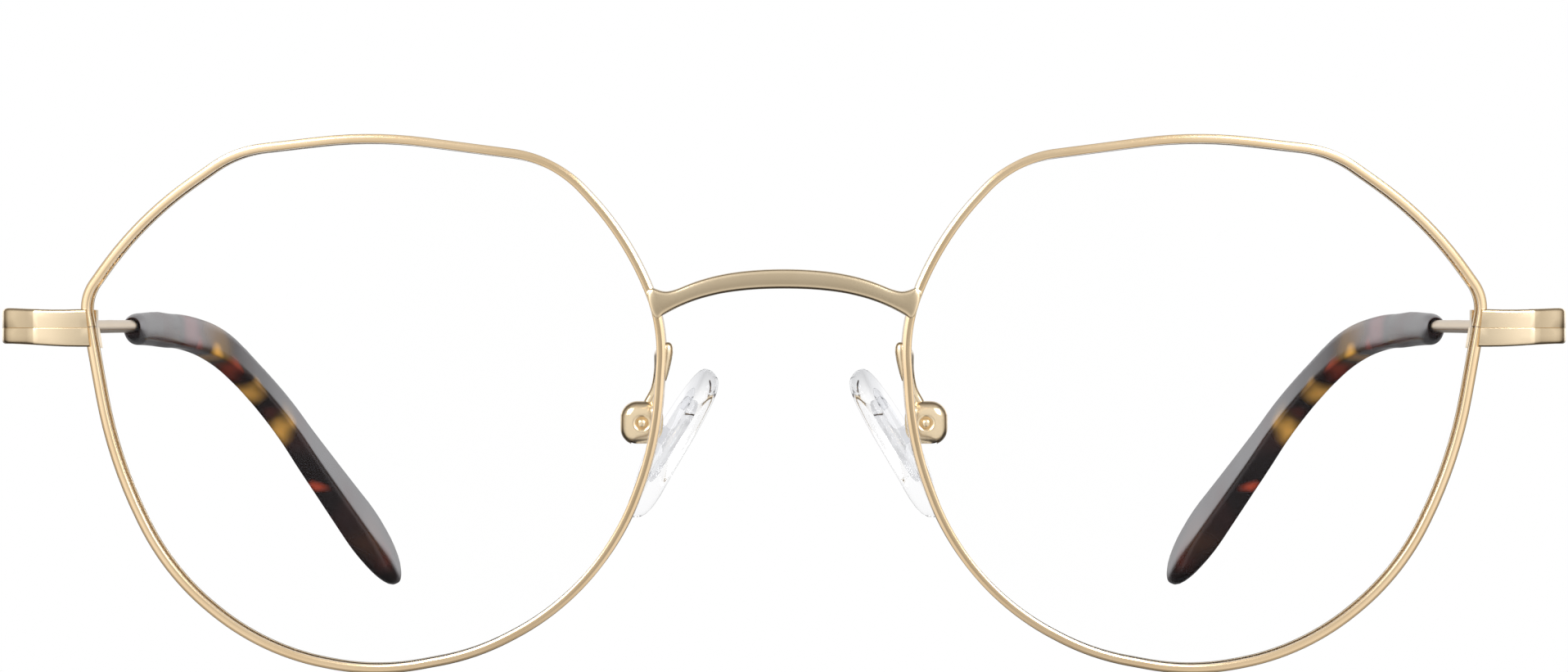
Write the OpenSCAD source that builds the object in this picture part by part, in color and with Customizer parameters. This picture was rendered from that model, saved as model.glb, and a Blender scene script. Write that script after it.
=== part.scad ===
// Geometric metal eyeglasses: thin split rims, closing-block endpieces, wire temples with acetate tips.
// Millimetres. +X is the wearer's left, +Y runs back along the temples, +Z is up.
// The origin is on the table, under the middle of the frame. Every left-hand piece is drawn
// and its right-hand twin is its mirror image.

/* [Lenses] */
// Width of the outline round one rim, in the lens plane
outline_w = 51.2; // [42:0.1:60]
// Height of the outline round one rim
outline_h = 46; // [36:0.2:52]
// Gap between the two lenses over the nose
lens_gap = 21.2; // [16:0.1:26]
// Radius of the curve that both lenses and rims follow
lens_curve_r = 265; // [120:5:600]
// Turn of each lens about the vertical, the outer side going back
wrap_deg = 8.5; // [0:0.5:12]
// Lean of the front, the upper edge going forward
lean_deg = 2.5; // [0:0.5:8]
// Thickness of a lens
lens_t = 1.5; // [1:0.1:2.4]
// Clearance between a lens and its rim groove
lens_clear = 0.05; // [0.02:0.01:0.12]

/* [Rims] */
// Width of the rim wire as seen from the front
rim_w = 0.72; // [0.6:0.02:1.4]
// Depth of the rim wire from front to back
rim_depth = 1.9; // [1.6:0.05:2.6]
// Depth of the lens groove
groove_depth = 0.32; // [0.2:0.02:0.4]
// Width of the lens groove at its mouth
groove_w = 0.9; // [0.6:0.05:1.2]
// Bevel on the outer edges of the rim wire
rim_bevel = 0.12; // [0.04:0.02:0.2]

/* [Bridge] */
// Height of the top of the arch above the lens centres
bridge_top_z = 11.45; // [9:0.05:14]
// Height of the arch bar as seen from the front
bridge_bar_h = 1.68; // [1.2:0.02:2.4]
// Depth of the arch bar from front to back
bridge_bar_depth = 1.7; // [1.2:0.05:2.4]
// Height of the flared end that lies on the rim
flare_h = 2.75; // [2:0.05:4]
// Thickness of the flared end where it covers the front of the rim
flare_t = 0.4; // [0.2:0.05:0.8]

/* [Endpieces] */
// Height of the split between the upper and the lower half, above the lens centres
split_z = 6.45; // [4:0.05:9]
// Height of both halves together
end_h = 3.26; // [2.6:0.02:4.2]
// Gap between the two halves
split_gap = 0.1; // [0.06:0.01:0.2]
// How far the outer wall stands out from the rim
end_reach = 7.6; // [6.5:0.1:10]
// Thickness of the plate that covers the front of the rim
end_plate_t = 0.45; // [0.3:0.05:0.8]
// Length of the tail that is soldered down the back of the rim
tail_l = 3.4; // [1:0.1:6]

/* [Hinges] */
// Radius of the hinge knuckles
knuckle_r = 1.25; // [1.1:0.05:1.5]
// Height of the middle knuckle, on the temple
knuckle_mid_h = 1.14; // [0.8:0.02:1.6]
// Gap above and below the middle knuckle
knuckle_gap = 0.05; // [0.03:0.01:0.1]
// Radius of the hinge screw's shank
hinge_screw_r = 0.6; // [0.45:0.05:0.7]
// Running clearance round the hinge screw
hinge_clear = 0.03; // [0.01:0.01:0.08]
// Radius of the hinge screw's head
hinge_head_r = 0.95; // [0.8:0.05:1]
// Radius of the screw that locks the two halves
lock_screw_r = 0.6; // [0.4:0.05:0.7]
// Radius of the lock screw's head
lock_head_r = 1.1; // [0.9:0.05:1.2]

/* [Temples] */
// Radius of the temple wire
wire_r = 0.63; // [0.5:0.01:0.9]
// Distance from the hinge screw to the start of the ear bend
temple_straight = 88.6; // [75:0.1:105]
// Radius of the downward ear bend
drop_r = 33; // [20:1:50]
// Angle of the downward ear bend
drop_deg = 49.5; // [35:0.5:60]
// Radius of the inward bend
inward_r = 40; // [25:1:80]
// Angle of the inward bend
inward_deg = 34.5; // [5:1:38]
// Distance from the hinge screw to the front of the acetate tip
tip_start = 62; // [50:0.5:75]
// Thickness of the acetate tip at its front
tip_t = 2.4; // [2.2:0.1:3.6]
// Thickness of the acetate tip at its broad end
tip_end_t = 3.2; // [2.4:0.1:4]
// Height of the acetate tip at its front
tip_front_h = 3.5; // [2.8:0.1:4.4]
// Height of the acetate tip at its broad end
tip_end_h = 6.4; // [4.5:0.1:8]
// Clearance round the wire inside the tip
core_clear = 0.02; // [0.01:0.01:0.06]

/* [Nose pads] */
// Length of a nose pad
pad_l = 14.4; // [11:0.2:17]
// Width of a nose pad
pad_w = 7; // [5.5:0.1:8.5]
// Thickness of a nose pad
pad_t = 2; // [1.8:0.1:2.6]
// Lean of a pad in the front view, the upper end going in
pad_lean_deg = 31; // [15:1:36]
// Turn of a pad about the vertical, the rear edge going out
pad_splay_deg = 15; // [5:1:25]
// Radius of the pad arm wire
arm_r = 0.45; // [0.35:0.01:0.55]
// Width of the pad box
box_w = 3.75; // [3:0.1:4.5]
// Height of the pad box
box_h = 3.8; // [3:0.1:4.8]
// Thickness of each of the two plates of the pad box
box_plate_t = 0.6; // [0.4:0.05:0.9]
// Thickness of the stem that sits between the two plates
stem_t = 1.1; // [0.8:0.05:1.6]
// Clearance on each side of the stem
stem_clear = 0.05; // [0.03:0.01:0.1]
// Radius of the pad screw's shank
pad_screw_r = 0.45; // [0.35:0.05:0.6]
// Running clearance round the pad screw
pad_screw_clear = 0.03; // [0.01:0.01:0.08]

/* [Hidden] */

gold = [0.83, 0.74, 0.56];
tortoise = [0.22, 0.11, 0.07];
clear_glass = [0.86, 0.93, 0.95, 0.35];
silicone = [0.93, 0.94, 0.92, 0.7];
core_grey = [0.72, 0.72, 0.7];

// Outline of the rim in the lens plane: corner points and the radius of each corner, going up the
// outer side first. The numbers are for an outline 51.2 wide and 46 high.
ref_w = 51.2;
ref_h = 46;
outline_corners = [
    [26.15, 9.1, 4], [20.95, 16, 33], [12.2, 21.9, 10.5], [0, 23.2, 40], [-15.8, 21.1, 10.5],
    [-22.3, 14.2, 26], [-25.3, 6.6, 14], [-24.6, -3.4, 28], [-19.8, -16, 23],
    [-8.7, -21.8, 22], [0.2, -23.5, 22], [10.2, -21.7, 22], [18.7, -15, 22], [23.6, -5.1, 40]
];
turn_step = 5;

function unit(v) = v / norm(v);
function mix(a, b, k) = a + (b - a) * k;
function corner(i) = let (
    c = outline_corners[(i + len(outline_corners)) % len(outline_corners)]
) [c[0] * outline_w / ref_w, c[1] * outline_h / ref_h];
function corner_r(i) = outline_corners[i][2] * min(outline_w / ref_w, outline_h / ref_h);

// One round corner as stations [u, v, normal u, normal v]
function corner_arc(i) = let (
    p = corner(i),
    in_dir = unit(p - corner(i - 1)),
    out_dir = unit(corner(i + 1) - p),
    a_in = atan2(in_dir[1], in_dir[0]),
    turn = (atan2(out_dir[1], out_dir[0]) - a_in + 540) % 360 - 180,
    r = corner_r(i),
    start = p - in_dir * r * tan(turn / 2),
    middle = start + [-in_dir[1], in_dir[0]] * r,
    steps = max(1, round(abs(turn) / turn_step))
) [for (k = [0 : steps]) let (a = a_in - 90 + turn * k / steps)
    [middle[0] + r * cos(a), middle[1] + r * sin(a), cos(a), sin(a)]];
outline = [for (i = [0 : len(outline_corners) - 1]) for (s = corner_arc(i)) s];

// From the lens plane to the frame: u is outward, v is up, d is depth behind the lens curve,
// square to that curve
function from_curve(u, v) = sqrt(pow(lens_curve_r, 2) - u * u - v * v);
function leaned(u, d, v) = [u, d * cos(lean_deg) - v * sin(lean_deg), v * cos(lean_deg) + d * sin(lean_deg)];
function wrapped(p) = [
    p[0] * cos(wrap_deg) - p[1] * sin(wrap_deg), p[0] * sin(wrap_deg) + p[1] * cos(wrap_deg), p[2]];
function on_lens(u, d, v) = let (k = 1 - d / lens_curve_r)
    lens_centre + wrapped(leaned(u * k, lens_curve_r - from_curve(u, v) * k, v * k));
function on_rim(s, n, d) = on_lens(s[0] + n * s[2], d, s[1] + n * s[3]);

lens_edge_n = -(rim_w - groove_depth) - lens_clear;
nasal_u = -min([for (s = outline) s[0]]) + lens_edge_n;
lens_centre = [lens_gap / 2 + nasal_u * cos(wrap_deg), 3.7, 0];

// The split lies on the straight stretch between the last corner and the first
function lerp_at_v(a, b, v) = let (k = (v - a[1]) / (b[1] - a[1]))
    [mix(a[0], b[0], k), v, outward(a, b)[0], outward(a, b)[1]];
function outward(a, b) = unit([b[1] - a[1], a[0] - b[0]]);
side_low = outline[len(outline) - 1];
side_high = outline[0];
split_v = (split_z - on_rim(side_high, 0, 0)[2] + side_high[1] * cos(lean_deg)) / cos(lean_deg);
above_split = lerp_at_v(side_low, side_high, split_v + split_gap / 2);
below_split = lerp_at_v(side_low, side_high, split_v - split_gap / 2);
rim_path = concat([above_split], outline, [below_split]);

// Solids swept through rings of points, every face a triangle
function ring_walls(rings, n, first = 0) = [
    for (i = [0 : rings - 2]) for (j = [0 : n - 1]) let (
        a = first + i * n + j, b = first + i * n + (j + 1) % n
    ) each [[a, b, b + n], [a, b + n, a + n]]];
function flipped(faces) = [for (f = faces) [f[0], f[2], f[1]]];
module swept(rings) {
    n = len(rings[0]);
    last = (len(rings) - 1) * n;
    start_cap = [for (j = [1 : n - 2]) [0, j + 1, j]];
    end_cap = [for (j = [1 : n - 2]) [last, last + j, last + j + 1]];
    polyhedron(points = [for (r = rings) each r],
        faces = concat(ring_walls(len(rings), n), start_cap, end_cap));
}
function oval_ring(p, side, up, t, h, n, power) = [for (j = [0 : n - 1]) let (
    a = 360 * (j + 0.5) / n, c = cos(a), s = sin(a)
) p + side * sign(c) * pow(abs(c), power) * t / 2 + up * sign(s) * pow(abs(s), power) * h / 2];

// Rims. The profile starts at the bottom of the groove, [n, d], n outward from the outer face
rim_profile = [
    [-(rim_w - groove_depth), 0], [-rim_w, groove_w / 2], [-rim_w, rim_depth / 2],
    [-rim_bevel, rim_depth / 2], [0, rim_depth / 2 - rim_bevel],
    [0, rim_bevel - rim_depth / 2], [-rim_bevel, -rim_depth / 2],
    [-rim_w, -rim_depth / 2], [-rim_w, -groove_w / 2]
];
module rim() {
    color(gold) swept([for (s = rim_path) [for (q = rim_profile) on_rim(s, q[0], q[1])]]);
}

// Lenses: two curved faces, and a bevel that sits in the groove
lens_body_n = -rim_w - lens_clear;
bevel_half = groove_w / 2 - lens_clear;
function lens_ring(k, d) = [for (s = outline)
    on_lens(k * (s[0] + lens_body_n * s[2]), d, k * (s[1] + lens_body_n * s[3]))];
function lens_edge_ring(n, d) = [for (s = outline) on_rim(s, n, d)];
module lens() {
    n = len(outline);
    rings = [
        lens_ring(0.35, -lens_t / 2), lens_ring(0.7, -lens_t / 2), lens_ring(1, -lens_t / 2),
        lens_ring(1, -bevel_half), lens_edge_ring(lens_edge_n, 0), lens_ring(1, bevel_half),
        lens_ring(1, lens_t / 2), lens_ring(0.7, lens_t / 2), lens_ring(0.35, lens_t / 2)
    ];
    front_pole = len(rings) * n;
    last = (len(rings) - 1) * n;
    color(clear_glass) polyhedron(
        points = concat([for (r = rings) each r],
            [on_lens(0, -lens_t / 2, 0), on_lens(0, lens_t / 2, 0)]),
        faces = concat(
            ring_walls(len(rings), n),
            [for (j = [0 : n - 1]) [front_pole, (j + 1) % n, j]],
            [for (j = [0 : n - 1]) [front_pole + 1, last + j, last + (j + 1) % n]]));
}

// Bridge. On the rim's inner side, the point of the outline at height v
function nasal(v) = [for (i = [0 : len(outline) - 2]) let (a = outline[i], b = outline[i + 1])
    if (a[0] < 0 && a[1] >= v && b[1] < v) mix(a, b, (a[1] - v) / (a[1] - b[1]))][0];
flare_low_v = split_z + 0.6;
flare_high_v = flare_low_v + flare_h;
solder_gap = 0.02;
function rim_front(v, n) = on_rim(nasal(v), n, -rim_depth / 2);
back_dir = unit(on_rim(nasal(flare_low_v), 0, 1) - on_rim(nasal(flare_low_v), 0, 0));
seat = [-solder_gap, -flare_t, 0];
flare_toe = 0.36;
edge_high = rim_front(flare_high_v, 0) + seat;
edge_low = rim_front(flare_low_v + flare_toe, 0) + seat;
end_high = rim_front(flare_high_v - 0.12, -rim_w) + seat;
end_low = rim_front(flare_low_v, -rim_w) + seat;
arch_low_z = bridge_top_z - bridge_bar_h;
bridge_y = edge_high[1] - 0.1;
dip_z = edge_high[2] - 0.28;
// Stations from the middle to the rim: share of the way out, then how far the top and the
// bottom edge have gone down from the middle of the arch to the flare, both as shares
arch = [[0, 0, 0], [0.2, 0.04, 0.02], [0.37, 0.14, 0.085], [0.5, 0.28, 0.17], [0.6, 0.43, 0.27],
    [0.7, 0.62, 0.39], [0.78, 0.82, 0.52], [0.85, 0.98, 0.65], [0.92, 1.05, 0.8]];
function bridge_ring(top, low, back) = let (
    b = 0.22, up = unit(top - low) * b, far = unit(back) * b
) [top + far, top - up, low + up, low + far,
    low + back - far, low + back + up, top + back - up, top + back - far];
half_rings = concat(
    [for (s = arch) bridge_ring(
        [edge_high[0] * s[0], mix(bridge_y, edge_high[1], s[0]), mix(bridge_top_z, dip_z, s[1])],
        [edge_low[0] * s[0], mix(bridge_y, edge_low[1], s[0]), mix(arch_low_z, edge_low[2], s[2])],
        [back_dir[0] * s[0], back_dir[1], back_dir[2] * s[0]] * bridge_bar_depth)],
    [bridge_ring(edge_high, edge_low, back_dir * bridge_bar_depth)],
    [bridge_ring(edge_high + [0.01, 0, 0], edge_low + [0.01, 0, 0], back_dir * (flare_t - solder_gap))],
    [bridge_ring(end_high, end_low, back_dir * (flare_t - solder_gap))]);
module bridge() {
    count = len(half_rings);
    mirrored = [for (i = [1 : count - 1]) [for (p = half_rings[i]) [-p[0], p[1], p[2]]]];
    rings = concat([for (i = [count - 1 : -1 : 0]) half_rings[i]], mirrored);
    color(gold) swept(rings);
}

// Endpieces. Their plan is drawn from the point where the rim's outer front edge meets the split
end_at = on_rim(below_split, 0, -rim_depth / 2);
end_top = split_z + end_h / 2;
end_low_z = split_z - end_h / 2;
wall_t = 0.85;
hinge_at = [end_at[0] + end_reach - wall_t - knuckle_r - 0.2, end_at[1] + 5.4];
wall_x = end_at[0] + end_reach;
butt_gap = 0.06;
wall_end_y = hinge_at[1] - butt_gap / 2;
lock_at = [end_at[0] + 2.1, end_at[1] + 1.75];
boss_back_y = end_at[1] + 3.2;
end_plan = [
    [end_at[0] - rim_w, end_at[1] - end_plate_t], [end_at[0] + 1.5, end_at[1] - end_plate_t + 0.22],
    [wall_x - 3.4, end_at[1] + 0.28], [wall_x - 2.9, end_at[1] + 0.47],
    [wall_x - 0.62, end_at[1] + 2.3], [wall_x - 0.16, end_at[1] + 2.95], [wall_x, end_at[1] + 3.7],
    [wall_x, wall_end_y], [wall_x - wall_t, wall_end_y], [wall_x - wall_t, end_at[1] + 4],
    [wall_x - wall_t - 0.35, end_at[1] + 3.2], [wall_x - 2.9, end_at[1] + 1.75],
    [lock_at[0] + 1.5, end_at[1] + 1.6], [lock_at[0] + 1.5, boss_back_y - 0.3],
    [lock_at[0] + 1.2, boss_back_y], [end_at[0] - 0.9, boss_back_y - 0.1],
    [end_at[0] - 1.1, boss_back_y - 0.3], [end_at[0] - 1.1, end_at[1] - end_plate_t + 0.5],
    [end_at[0] - rim_w, end_at[1] - end_plate_t + 0.3]
];
slot_half = rim_depth / 2 + solder_gap;
slot_profile = [[solder_gap, slot_half], [solder_gap, -slot_half], [-3, -slot_half], [-3, slot_half]];
slot_path = concat(
    [lerp_at_v(side_low, side_high, split_v - end_h)], [for (i = [0 : 5]) outline[i]]);
module rim_slot() {
    swept([for (s = slot_path) [for (q = slot_profile) on_rim(s, q[0], q[1])]]);
}
web_plan = [
    [hinge_at[0] - knuckle_r, hinge_at[1]], [hinge_at[0] - 0.9, end_at[1] + 2.4],
    [wall_x - wall_t - 0.6, end_at[1] + 3], [wall_x - wall_t + 0.2, end_at[1] + 4],
    [wall_x - wall_t + 0.2, wall_end_y], [hinge_at[0], hinge_at[1]]];
front_knuckle_h = (end_h - knuckle_mid_h) / 2 - knuckle_gap;
module knuckle(z, h, web) {
    translate([0, 0, z]) linear_extrude(h) polygon(web);
    translate([hinge_at[0], hinge_at[1], z]) cylinder(r = knuckle_r, h = h, $fn = 48);
}
module end_block(z, h) {
    difference() {
        translate([0, 0, z]) linear_extrude(h) polygon(end_plan);
        rim_slot();
    }
}
module drill(at, r, low, high) {
    translate([at[0], at[1], low]) cylinder(r = r, h = high - low, $fn = 48);
}
lock_head_h = 0.55;
lock_sink = 0.42;
hinge_head_h = 0.42;
hinge_sink = hinge_head_h + 0.03;
half_h = (end_h - split_gap) / 2;
screw_clear = 0.03;
module endpiece_upper() {
    color(gold) difference() {
        union() {
            end_block(split_z + split_gap / 2, half_h);
            knuckle(end_top - front_knuckle_h, front_knuckle_h, web_plan);
        }
        drill(hinge_at, hinge_screw_r + hinge_clear, end_low_z, end_top + 1);
        drill(hinge_at, hinge_head_r + screw_clear, end_top - hinge_sink, end_top + 1);
        drill(lock_at, lock_screw_r + screw_clear, end_low_z, end_top + 1);
        drill(lock_at, lock_head_r + screw_clear, end_top - lock_sink, end_top + 1);
    }
}
tail_taper = 0.9;
tail_profile = [
    [-rim_w, slot_half], [-rim_w, slot_half + 0.55], [-0.1, slot_half + 0.55],
    [-0.1, slot_half]];
module tail() {
    top = lerp_at_v(side_low, side_high, split_v - split_gap);
    low = lerp_at_v(side_low, side_high, split_v - end_h / 2 - tail_l);
    // The lower end is cut on the slant, its inner corner lower
    swept([[for (q = tail_profile) on_rim(low, q[0], q[1]) + [0, 0, (-0.1 - q[0]) * -tail_taper]],
        [for (q = tail_profile) on_rim(top, q[0], q[1])]]);
}
module endpiece_lower() {
    color(gold) difference() {
        union() {
            end_block(end_low_z, half_h);
            knuckle(end_low_z, front_knuckle_h, web_plan);
            tail();
        }
        drill(hinge_at, hinge_screw_r + hinge_clear, end_low_z - 1, end_top);
        drill(lock_at, lock_screw_r + screw_clear, end_low_z - 1, end_top);
    }
}

// Screws with a low domed head and a driver slot, drawn standing on Z from the foot of the shank
module screw(shank_r, shank_l, head_r, head_h, slot_w) {
    dome = 0.12;
    difference() {
        union() {
            cylinder(r = shank_r, h = shank_l, $fn = 48);
            translate([0, 0, shank_l]) cylinder(r = head_r, h = head_h - dome, $fn = 48);
            translate([0, 0, shank_l + head_h - dome])
                cylinder(r1 = head_r, r2 = head_r - 1.6 * dome, h = dome, $fn = 48);
        }
        translate([-head_r - 1, -slot_w / 2, shank_l + head_h - 0.22])
            cube([2 * head_r + 2, slot_w, 1]);
    }
}
screw_foot_z = end_low_z + 0.05;
module lock_screw() {
    color(gold) translate([lock_at[0], lock_at[1], screw_foot_z])
        screw(lock_screw_r, end_top - lock_sink - screw_foot_z, lock_head_r, lock_head_h, 0.3);
}
module hinge_screw() {
    color(gold) translate([hinge_at[0], hinge_at[1], screw_foot_z])
        screw(hinge_screw_r, end_top - hinge_sink - screw_foot_z, hinge_head_r, hinge_head_h, 0.26);
}

// Temples. The wire runs straight back, then takes two bends at once, down and inward
function bend(t, r, deg) = t <= 0 ? 0
    : t < r * sin(deg) ? r - sqrt(r * r - t * t)
    : r * (1 - cos(deg)) + (t - r * sin(deg)) * tan(deg);
collar_l = 3.4;
wire_start_y = hinge_at[1] + 3.3;
wire_start_x = wall_x - wall_t - 0.55;
wire_toe_in = 0.021;
wire_rise = 0.004;
bend_y = hinge_at[1] + temple_straight;
inward_lead = 2.9;
function temple_at(y) = [
    wire_start_x - wire_toe_in * (min(y, bend_y) - wire_start_y)
        - bend(y - bend_y + inward_lead, inward_r, inward_deg),
    y,
    split_z + 0.05 + wire_rise * (min(y, bend_y) - wire_start_y) - bend(y - bend_y, drop_r, drop_deg)];
function temple_dir(y) = unit(temple_at(y + 0.05) - temple_at(y - 0.05));

bar_sides = 14;
function bar_ring(y, t, h, power, drop) = let (
    dir = temple_dir(y), side = unit([1, 0, 0] - dir[0] * dir), up = cross(side, dir)
) oval_ring(temple_at(y) - up * drop, side, up, t, h, bar_sides, power);

// Acetate tip: a rounded bar that grows from a slim part to a broad end
tip_y = hinge_at[1] + tip_start;
leg_y = bend_y + drop_r * sin(drop_deg);
end_shares = [1, 0.7, 0.45, 0.25, 0.1, 0.02, 0];
tip_power = 0.62;
// The wire runs above the middle of the tip
tip_drop = 0.3;
nose_l = 2.4;
nose_small = 0.6;
end_round = 2.4;
function round_in(x, r) = x >= r ? 1 : sqrt(max(0, 1 - pow(1 - x / r, 2)));
function tip_scale(y, end) = min(mix(nose_small, 1, round_in(y - tip_y, nose_l)),
    max(0.12, round_in(end - y, end_round)));
// Share of the way from the slim part to the broad end, which is reached full_l before the end
full_l = 4;
function broad(y, end) = pow(min(1, max(0, (y - broad_y) / (end - full_l - broad_y))), 1.3);
broad_y = bend_y + 18;
function tip_ring(y, end) = let (k = tip_scale(y, end), b = broad(y, end)) bar_ring(y,
    mix(tip_t, tip_end_t, b) * k, mix(tip_front_h, tip_end_h, b) * k, tip_power, tip_drop);

// Both rims and both tips stand on the table. The tip is cut where its lowest point meets it: the
// leg is straight there, so a first guess of its end is moved along it by what is missing
floor_z = min([for (s = outline) for (q = rim_profile) on_rim(s, q[0], q[1])[2]]);
first_end_y = leg_y + 14;
first_low_z = min([for (k = end_shares) for (p = tip_ring(first_end_y - end_round * k, first_end_y)) p[2]]);
temple_end_y = first_end_y + (first_low_z - floor_z) / tan(drop_deg);
wire_end_y = temple_end_y - 5;

function spaced(a, b, n) = [for (i = [0 : n]) mix(a, b, i / n)];
function tail_of(list) = [for (i = [1 : len(list) - 1]) list[i]];
wire_ys = concat(spaced(wire_start_y, tip_y, 3), tail_of(spaced(tip_y, bend_y - inward_lead, 6)),
    tail_of(spaced(bend_y - inward_lead, leg_y, 16)), tail_of(spaced(leg_y, wire_end_y, 4)));
module temple_wire() {
    color(gold) swept([for (y = wire_ys) bar_ring(y, 2 * wire_r, 2 * wire_r, 1, 0)]);
}

// Temple hinge: the middle knuckle, a wall that butts against the endpiece, and a collar for the wire
leaf_back_y = wire_start_y + 2.2;
leaf_plan = [
    [wall_x - wall_t, hinge_at[1] + butt_gap / 2], [wall_x, hinge_at[1] + butt_gap / 2],
    [wall_x, hinge_at[1] + 2.6], [wall_x - 0.3, leaf_back_y],
    [wire_start_x - wire_r - 0.35, leaf_back_y], [wire_start_x - wire_r - 0.55, hinge_at[1] + 2.9],
    [wire_start_x - wire_r - 0.4, hinge_at[1] + 2], [hinge_at[0] + 0.5, hinge_at[1] + knuckle_r + 0.12],
    [wall_x - wall_t, hinge_at[1] + knuckle_r + 0.12]];
mid_web = [
    [hinge_at[0] - knuckle_r, hinge_at[1]], [hinge_at[0], hinge_at[1]],
    [hinge_at[0] + knuckle_r, hinge_at[1]], [wall_x - wall_t + 0.3, hinge_at[1] + knuckle_r + 0.3],
    [wall_x - wall_t, hinge_at[1] + 2.4], [wire_start_x - wire_r - 0.4, hinge_at[1] + 2.4]];
collar_r = wire_r + 0.32;
module temple_hinge() {
    dir = temple_dir(wire_start_y + 1);
    at = temple_at(wire_start_y);
    color(gold) difference() {
        union() {
            translate([0, 0, end_low_z + 0.05]) linear_extrude(end_h - 0.1) polygon(leaf_plan);
            knuckle(split_z - knuckle_mid_h / 2, knuckle_mid_h, mid_web);
            translate(at) rotate([-90, 0, atan2(-dir[0], dir[1])])
                cylinder(r = collar_r, h = collar_l, $fn = 48);
        }
        drill(hinge_at, hinge_screw_r + hinge_clear, end_low_z, end_top);
        translate(at - dir * core_clear) rotate([-90, 0, atan2(-dir[0], dir[1])])
            cylinder(r = wire_r + core_clear, h = collar_l + 1, $fn = 48);
    }
}

// Rings of the tip and of its bore
nose_ys = [for (k = [0, 0.1, 0.3, 0.6]) tip_y + nose_l * k];
end_ys = [for (k = end_shares) temple_end_y - end_round * k];
tip_ys = concat(nose_ys, spaced(tip_y + nose_l, bend_y - inward_lead, 6),
    tail_of(spaced(bend_y - inward_lead, leg_y, 14)),
    tail_of(spaced(leg_y, temple_end_y - end_round, 7)), tail_of(end_ys));
bore_ys = concat([for (y = wire_ys) if (y >= tip_y) y], [wire_end_y + 0.2]);
module temple_tip() {
    n = bar_sides;
    outer = [for (y = tip_ys) tip_ring(y, temple_end_y)];
    bore_d = 2 * (wire_r + core_clear);
    bore = [for (y = bore_ys) bar_ring(y, bore_d, bore_d, 1, 0)];
    first = len(outer) * n;
    outer_last = first - n;
    bore_last = first + (len(bore) - 1) * n;
    color(tortoise) polyhedron(
        points = concat([for (r = outer) each r], [for (r = bore) each r]),
        faces = concat(
            ring_walls(len(outer), n), flipped(ring_walls(len(bore), n, first)),
            [for (j = [1 : n - 2]) [outer_last, outer_last + j, outer_last + j + 1]],
            [for (j = [1 : n - 2]) [bore_last, bore_last + j + 1, bore_last + j]],
            [for (j = [0 : n - 1]) let (k = (j + 1) % n)
                each [[j, first + k, k], [j, first + j, first + k]]]));
}

// Pad arms: a foot soldered behind the rim, a bent wire and a box that holds the pad's stem
box_at = [lens_gap / 2 + 1.64, 9.6, -1.75];
box_depth = stem_t + 2 * stem_clear + 2 * box_plate_t;
foot_v = [5.2, 4.7, 4.2, 3.7, 3.2];
foot_back = rim_depth / 2 + solder_gap;
foot_profile = [[solder_gap, foot_back], [-0.5, foot_back], [-0.5, foot_back + 0.55],
    [0.5, foot_back + 0.55], [0.5, 0.5], [solder_gap, 0.5]];
foot_middle = on_rim(nasal(4.2), 0, foot_back + 0.3);
// Points of the arm, from the foot to the box
arm_route = [foot_middle, foot_middle + [0.2, 1.8, 0.5], foot_middle + [0.65, 4.6, 0.5],
    box_at + [-1.5, -1, 4.7], box_at + [-1.2, -0.2, 3], box_at + [-0.5, 0, box_h / 2 - 0.3]];
function route_point(i) = arm_route[min(max(i, 0), len(arm_route) - 1)];
function smooth_at(i, k) = let (
    a = route_point(i - 1), b = route_point(i), c = route_point(i + 1), d = route_point(i + 2)
) ((2 * b) + (c - a) * k + (2 * a - 5 * b + 4 * c - d) * k * k + (3 * b - a - 3 * c + d) * k * k * k) / 2;
arm_steps = 5;
arm_points = concat(
    [for (i = [0 : len(arm_route) - 2]) for (k = [0 : arm_steps - 1]) smooth_at(i, k / arm_steps)],
    [arm_route[len(arm_route) - 1]]);
arm_sides = 12;
module bent_wire(points, r, n) {
    last = len(points) - 1;
    swept([for (i = [0 : last]) let (
        dir = unit(points[min(i + 1, last)] - points[max(i - 1, 0)]),
        side = unit(cross([0.3, 0.1, 1], dir)), up = cross(side, dir)
    ) oval_ring(points[i], side, up, 2 * r, 2 * r, n, 1)]);
}
module rounded_block(w, h, depth, r) {
    rotate([90, 0, 0]) translate([0, 0, -depth / 2]) {
        translate([-w / 2 + r, -h / 2, 0]) cube([w - 2 * r, h, depth]);
        translate([-w / 2, -h / 2 + r, 0]) cube([w, h - 2 * r, depth]);
        for (x = [-1, 1], z = [-1, 1])
            translate([x * (w / 2 - r), z * (h / 2 - r), 0]) cylinder(r = r, h = depth, $fn = 32);
    }
}
module across(at, r, low, high) {
    translate(at + [0, low, 0]) rotate([-90, 0, 0]) cylinder(r = r, h = high - low, $fn = 40);
}
box_wall = 0.55;
box_corner_r = 1.4;
pad_head_r = 0.78;
pad_head_sink = 0.3;
stem_r = 0.75;
// Room that the box leaves behind the pad, so that the pad can rock
pad_room = 0.32;
module cut_for_pad() {
    at_pad() translate([pad_t / 2 + pad_room - box_w, -pad_w, -pad_l]) cube([box_w, 2 * pad_w, 2 * pad_l]);
}
module pad_arm() {
    slot_w = stem_t + 2 * stem_clear;
    color(gold) difference() {
        union() {
            swept([for (v = foot_v) [for (q = foot_profile) on_rim(nasal(v), q[0], q[1])]]);
            bent_wire(arm_points, arm_r, arm_sides);
            translate(box_at) rounded_block(box_w, box_h, box_depth, box_corner_r);
        }
        translate(box_at + [-box_w, -slot_w / 2, -box_h])
            cube([box_w + stem_r + 0.2, slot_w, 1.5 * box_h - box_wall]);
        across(box_at, pad_screw_r + screw_clear, -box_depth, box_depth);
        across(box_at, pad_head_r + screw_clear, -box_depth, pad_head_sink - box_depth / 2);
        cut_for_pad();
    }
}
pad_shank_l = box_depth - pad_head_sink - 0.05;
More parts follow.
